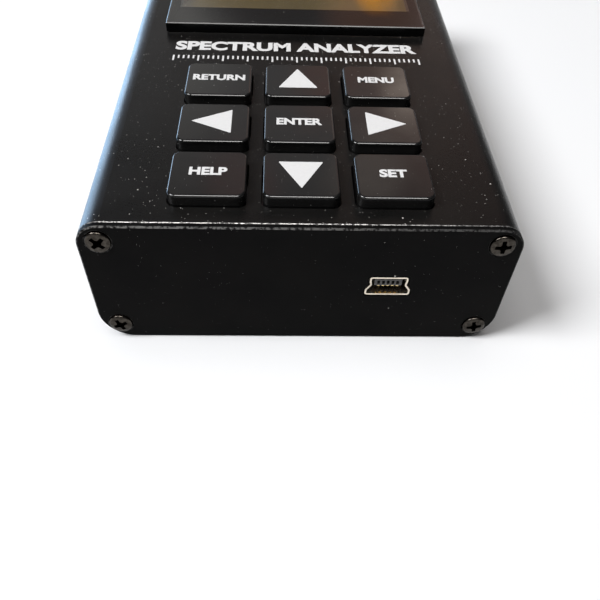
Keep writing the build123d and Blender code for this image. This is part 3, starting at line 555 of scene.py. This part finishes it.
def extruded(name, outlines, surface_z):
    """A mesh of flat prisms, one for each closed outline, standing on a surface."""
    form = bmesh.new()
    for outline in outlines:
        bottom = [form.verts.new((x, y, surface_z)) for x, y in outline]
        top = [form.verts.new((x, y, surface_z + INK_HEIGHT)) for x, y in outline]
        form.faces.new(list(reversed(bottom)))
        form.faces.new(top)
        for i in range(len(outline)):
            j = (i + 1) % len(outline)
            form.faces.new((bottom[i], bottom[j], top[j], top[i]))
    mesh = bpy.data.meshes.new(name)
    form.to_mesh(mesh)
    form.free()
    return mesh


def arrow_outline(turn, centre):
    """A solid triangle pointing along +Y turned by an angle, with slightly rounded corners."""
    tip = Vector((0, ARROW_LENGTH / 2 + ARROW_LEAD))
    left = Vector((-ARROW_BASE / 2, ARROW_LEAD - ARROW_LENGTH / 2))
    right = Vector((ARROW_BASE / 2, ARROW_LEAD - ARROW_LENGTH / 2))
    corners = [tip, left, right]
    points = []
    for i, corner in enumerate(corners):
        before = (corners[i - 1] - corner).normalized()
        after = (corners[(i + 1) % 3] - corner).normalized()
        start = corner + before * ARROW_CORNER
        end = corner + after * ARROW_CORNER
        for step in range(ARROW_CORNER_POINTS):
            t = step / (ARROW_CORNER_POINTS - 1)
            points.append((1 - t) ** 2 * start + 2 * t * (1 - t) * corner + t ** 2 * end)
    cos, sin = math.cos(math.radians(turn)), math.sin(math.radians(turn))
    return [(centre[0] + p.x * cos - p.y * sin, centre[1] + p.x * sin + p.y * cos) for p in points]


def key_top(name, rise):
    """A place at or above the middle of a keycap's top, as (x, y), and the top's z."""
    low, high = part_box(f"key_{name}")
    return ((low.x + high.x) / 2, (low.y + high.y) / 2 + rise), high.z


def print_keys(material):
    """Words and arrows on the keycaps, each riding on its key."""
    for name, width in LEGEND_WIDTHS.items():
        place, top = key_top(name, LEGEND_RISE)
        mesh = printed_text(f"legend_{name}", name.upper(), width, LEGEND_CAP, place, top)
        new_piece(f"legend_{name}", mesh, material, f"{name}_key")
    for name, turn in ARROW_TURNS.items():
        place, top = key_top(name, ARROW_RISE)
        mesh = extruded(f"legend_{name}", [arrow_outline(turn, place)], top)
        new_piece(f"legend_{name}", mesh, material, f"{name}_key")


def print_face(material):
    """The title and the scale under it, on the front shell."""
    face_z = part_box("front_shell")[1].z
    title = printed_text("face_title", TITLE, TITLE_WIDTH, TITLE_CAP, (0, TITLE_Y), face_z)
    new_piece("face_title", title, material, "case")
    ticks = []
    top = SCALE_Y + SCALE_LONG_TICK / 2
    for i in range(SCALE_TICKS):
        x = (i - (SCALE_TICKS - 1) / 2) * SCALE_PITCH
        left, right = x - SCALE_TICK_WIDTH / 2, x + SCALE_TICK_WIDTH / 2
        length = SCALE_SHORT_TICK if i % SCALE_LONG_EVERY else SCALE_LONG_TICK
        ticks.append([(left, top - length), (right, top - length), (right, top), (left, top)])
    scale = extruded("face_scale", ticks, face_z)
    new_piece("face_scale", scale, material, "case")


def bevelled_box(form, low, high):
    """Add a box with slightly broken edges to a form."""
    size = Vector(high) - Vector(low)
    place = Matrix.Translation((Vector(low) + Vector(high)) / 2) @ Matrix.Diagonal(size.to_4d())
    corners = bmesh.ops.create_cube(form, size=1.0, matrix=place)["verts"]
    edges = list({edge for corner in corners for edge in corner.link_edges})
    bmesh.ops.bevel(form, geom=edges, offset=SMALL_BEVEL, segments=2, affect="EDGES", profile=0.5)


def thread_height(turns):
    """How far a thread stands above its root, from 0 to 1, after a number of turns along it."""
    ramp = abs(2 * (turns % 1.0) - 1)
    return min(max((1 + 2 * THREAD_FLAT) * ramp - THREAD_FLAT, 0.0), 1.0)


def barrel_rows(start, nut_end, tip, mating_face):
    """Rings of the connector's barrel as (y, radii): along the outside, then back along the bore."""
    rows = [(start, [ROOT_RADIUS] * THREAD_SIDES), (nut_end, [ROOT_RADIUS] * THREAD_SIDES)]
    step = THREAD_PITCH / ROWS_PER_TURN
    for i in range(1, int((tip - nut_end) / step)):
        y = nut_end + i * step
        limit = CREST_RADIUS - max(0.0, y - (tip - TIP_CHAMFER))
        turns = [(y - nut_end) / THREAD_PITCH + side / THREAD_SIDES for side in range(THREAD_SIDES)]
        rows.append((y, [min(ROOT_RADIUS + THREAD_DEPTH * thread_height(t), limit) for t in turns]))
    plain = [
        (tip, CREST_RADIUS - TIP_CHAMFER),
        (tip, BORE_RADIUS),
        (mating_face, BORE_RADIUS),
        (mating_face, SLEEVE_RADIUS),
        (start, SLEEVE_RADIUS),
    ]
    return rows + [(y, [radius] * THREAD_SIDES) for y, radius in plain]


def barrel(form, x, z, rows):
    """Add a closed barrel along Y to a form, from its rings."""
    rings = []
    for y, radii in rows:
        ring = []
        for side, radius in enumerate(radii):
            angle = 2 * math.pi * side / THREAD_SIDES
            ring.append(form.verts.new((x + radius * math.sin(angle), y, z + radius * math.cos(angle))))
        rings.append(ring)
    for ring, after in zip(rings, rings[1:] + rings[:1]):
        for side in range(THREAD_SIDES):
            beside = (side + 1) % THREAD_SIDES
            face = form.faces.new((ring[side], ring[beside], after[beside], after[side]))
            face.smooth = True


def antenna_connector(material):
    """The connector body with its real thread, in place of the plain round CAD barrel."""
    low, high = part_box("sma_body")
    sleeve_low, sleeve_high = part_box("sma_insulator")
    board_low, board_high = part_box("main_board")
    x = (sleeve_low.x + sleeve_high.x) / 2
    z = (sleeve_low.z + sleeve_high.z) / 2
    form = bmesh.new()
    barrel(form, x, z, barrel_rows(sleeve_low.y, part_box("sma_nut")[1].y, high.y, sleeve_high.y))
    half = FLANGE / 2
    flange_end = sleeve_low.y + FLANGE_THICKNESS
    bevelled_box(form, (x - half, sleeve_low.y, z - half), (x + half, flange_end, z + half))
    for side in (-1, 1):
        left = x + side * FINGER_SPREAD / 2 - FINGER / 2
        for bottom in (board_high.z, board_low.z - FINGER):
            finger_end = (left + FINGER, sleeve_low.y, bottom + FINGER)
            bevelled_box(form, (left, low.y, bottom), finger_end)
    for edge in form.edges:
        edge.smooth = edge.calc_face_angle(0) < SMOOTH_ANGLE
    mesh = bpy.data.meshes.new("sma_threaded_body")
    form.to_mesh(mesh)
    form.free()
    body = new_piece("sma_threaded_body", mesh, material, "case")
    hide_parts("sma_body")


def floor():
    """A plain pale floor.

    Glossy surfaces mirror bluish window light in it at the left. The camera sees it fade to plain
    white with distance, so that it has no dark horizon.
    """
    form = bmesh.new()
    bmesh.ops.create_grid(form, x_segments=1, y_segments=1, size=FLOOR_REACH)
    mesh = bpy.data.meshes.new("floor")
    form.to_mesh(mesh)
    form.free()
    shader = Shader("floor_white")
    pale = shader.mix(shader.noise(0.2, 2), gray(0.86), gray(0.90))
    leftward = shader.remap(shader.axis("X"), *WINDOW_BLUE_X)
    backward = shader.remap(shader.axis("Y"), *WINDOW_BLUE_Y)
    by_window = shader.math("MULTIPLY", leftward, backward)
    rays = shader.add("ShaderNodeLightPath")
    is_seen = rays.outputs["Is Camera Ray"]
    mirrored = shader.math("MULTIPLY", by_window, rays.outputs["Is Glossy Ray"])
    blue = shader.math("MULTIPLY", mirrored, WINDOW_BLUE_STRENGTH)
    away = shader.add("ShaderNodeVectorMath", {0: shader.place}, operation="LENGTH").outputs["Value"]
    far = shader.remap(away, FLOOR_FADE_START, FLOOR_FADE_END)
    values = {
        "Base Color": pale,
        "Roughness": 0.7,
        "Specular IOR Level": 0.1,
        "Emission Color": shader.mix(is_seen, WINDOW_BLUE, gray(1.0)),
        "Emission Strength": shader.math("ADD", blue, shader.math("MULTIPLY", far, is_seen)),
    }
    mesh.materials.append(shader.finish(values))
    piece = bpy.data.objects.new("floor", mesh)
    bpy.context.scene.collection.objects.link(piece)


def area_light(name, place, aim, size, power, color):
    """A soft rectangular light that the camera doesn't see."""
    light = bpy.data.lights.new(name, "AREA")
    light.shape = "RECTANGLE"
    light.size, light.size_y = size
    light.energy = power
    light.color = color
    lamp = bpy.data.objects.new(name, light)
    lamp.location = place
    lamp.rotation_euler = (Vector(aim) - Vector(place)).to_track_quat("-Z", "Y").to_euler()
    lamp.visible_camera = False
    bpy.context.scene.collection.objects.link(lamp)
    return lamp


def lights():
    """A soft window at the left, a ceiling that only fills, and a gleam on the near chamfers."""
    area_light(
        "window",
        place=(-0.94, -0.28, 1.10),
        aim=(0, 0, 0.02),
        size=(0.60, 0.60),
        power=24.5,
        color=(0.97, 0.98, 1.0),
    )
    ceiling = area_light(
        "ceiling",
        place=(0, 0, 1.0),
        aim=(0, 0, 0),
        size=(0.80, 0.80),
        power=3.0,
        color=(1.0, 0.99, 0.97),
    )
    ceiling.visible_glossy = False
    gleam = area_light(
        "gleam",
        place=(0.02, -0.49, 0.87),
        aim=(0, 0, 0),
        size=(0.50, 0.36),
        power=10.0,
        color=(1.0, 0.98, 0.96),
    )
    gleam.visible_diffuse = False


def room():
    """The surroundings: white to the camera, and a dark room with soft glows in reflections."""
    world = bpy.data.worlds.new("room")
    bpy.context.scene.world = world
    world.use_nodes = True
    nodes = Nodes(world.node_tree)
    direction = nodes.add("ShaderNodeTexCoord").outputs["Generated"]
    color = ROOM_DARK
    for azimuth, elevation, full, end, glow in ROOM_GLOWS:
        turn, rise = math.radians(azimuth), math.radians(elevation)
        aim = (math.sin(turn) * math.cos(rise), math.cos(turn) * math.cos(rise), math.sin(rise))
        facing = nodes.add("ShaderNodeVectorMath", {0: direction, 1: aim}, operation="DOT_PRODUCT")
        edge, core = math.cos(math.radians(end)), math.cos(math.radians(full))
        amount = nodes.remap(facing.outputs["Value"], edge, core, curve="SMOOTHSTEP")
        color = nodes.mix(amount, color, glow)
    is_seen = nodes.add("ShaderNodeLightPath").outputs["Is Camera Ray"]
    color = nodes.mix(is_seen, color, (1, 1, 1, 1))
    background = nodes.add("ShaderNodeBackground", {"Color": color})
    nodes.add("ShaderNodeOutputWorld", {"Surface": background.outputs[0]})


def camera():
    """The viewpoint of someone holding the analyzer's bottom end toward them."""
    lens = bpy.data.cameras.new("camera")
    lens.lens = CAMERA_LENS
    lens.sensor_width = 36
    lens.shift_x, lens.shift_y = CAMERA_SHIFT
    lens.clip_start = 0.005
    lens.clip_end = 50
    eye = bpy.data.objects.new("camera", lens)
    eye.location = CAMERA_PLACE
    eye.rotation_euler = Euler([math.radians(a) for a in CAMERA_TURN], "XYZ")
    bpy.context.scene.collection.objects.link(eye)
    bpy.context.scene.camera = eye


finishes = dress_nodes()
white_ink = ink()
print_keys(white_ink)
print_face(white_ink)
antenna_connector(finishes["gold_brass"])
floor()
lights()
room()
camera()
bpy.context.scene.view_settings.view_transform = "Standard"

bpy.context.view_layer.update()
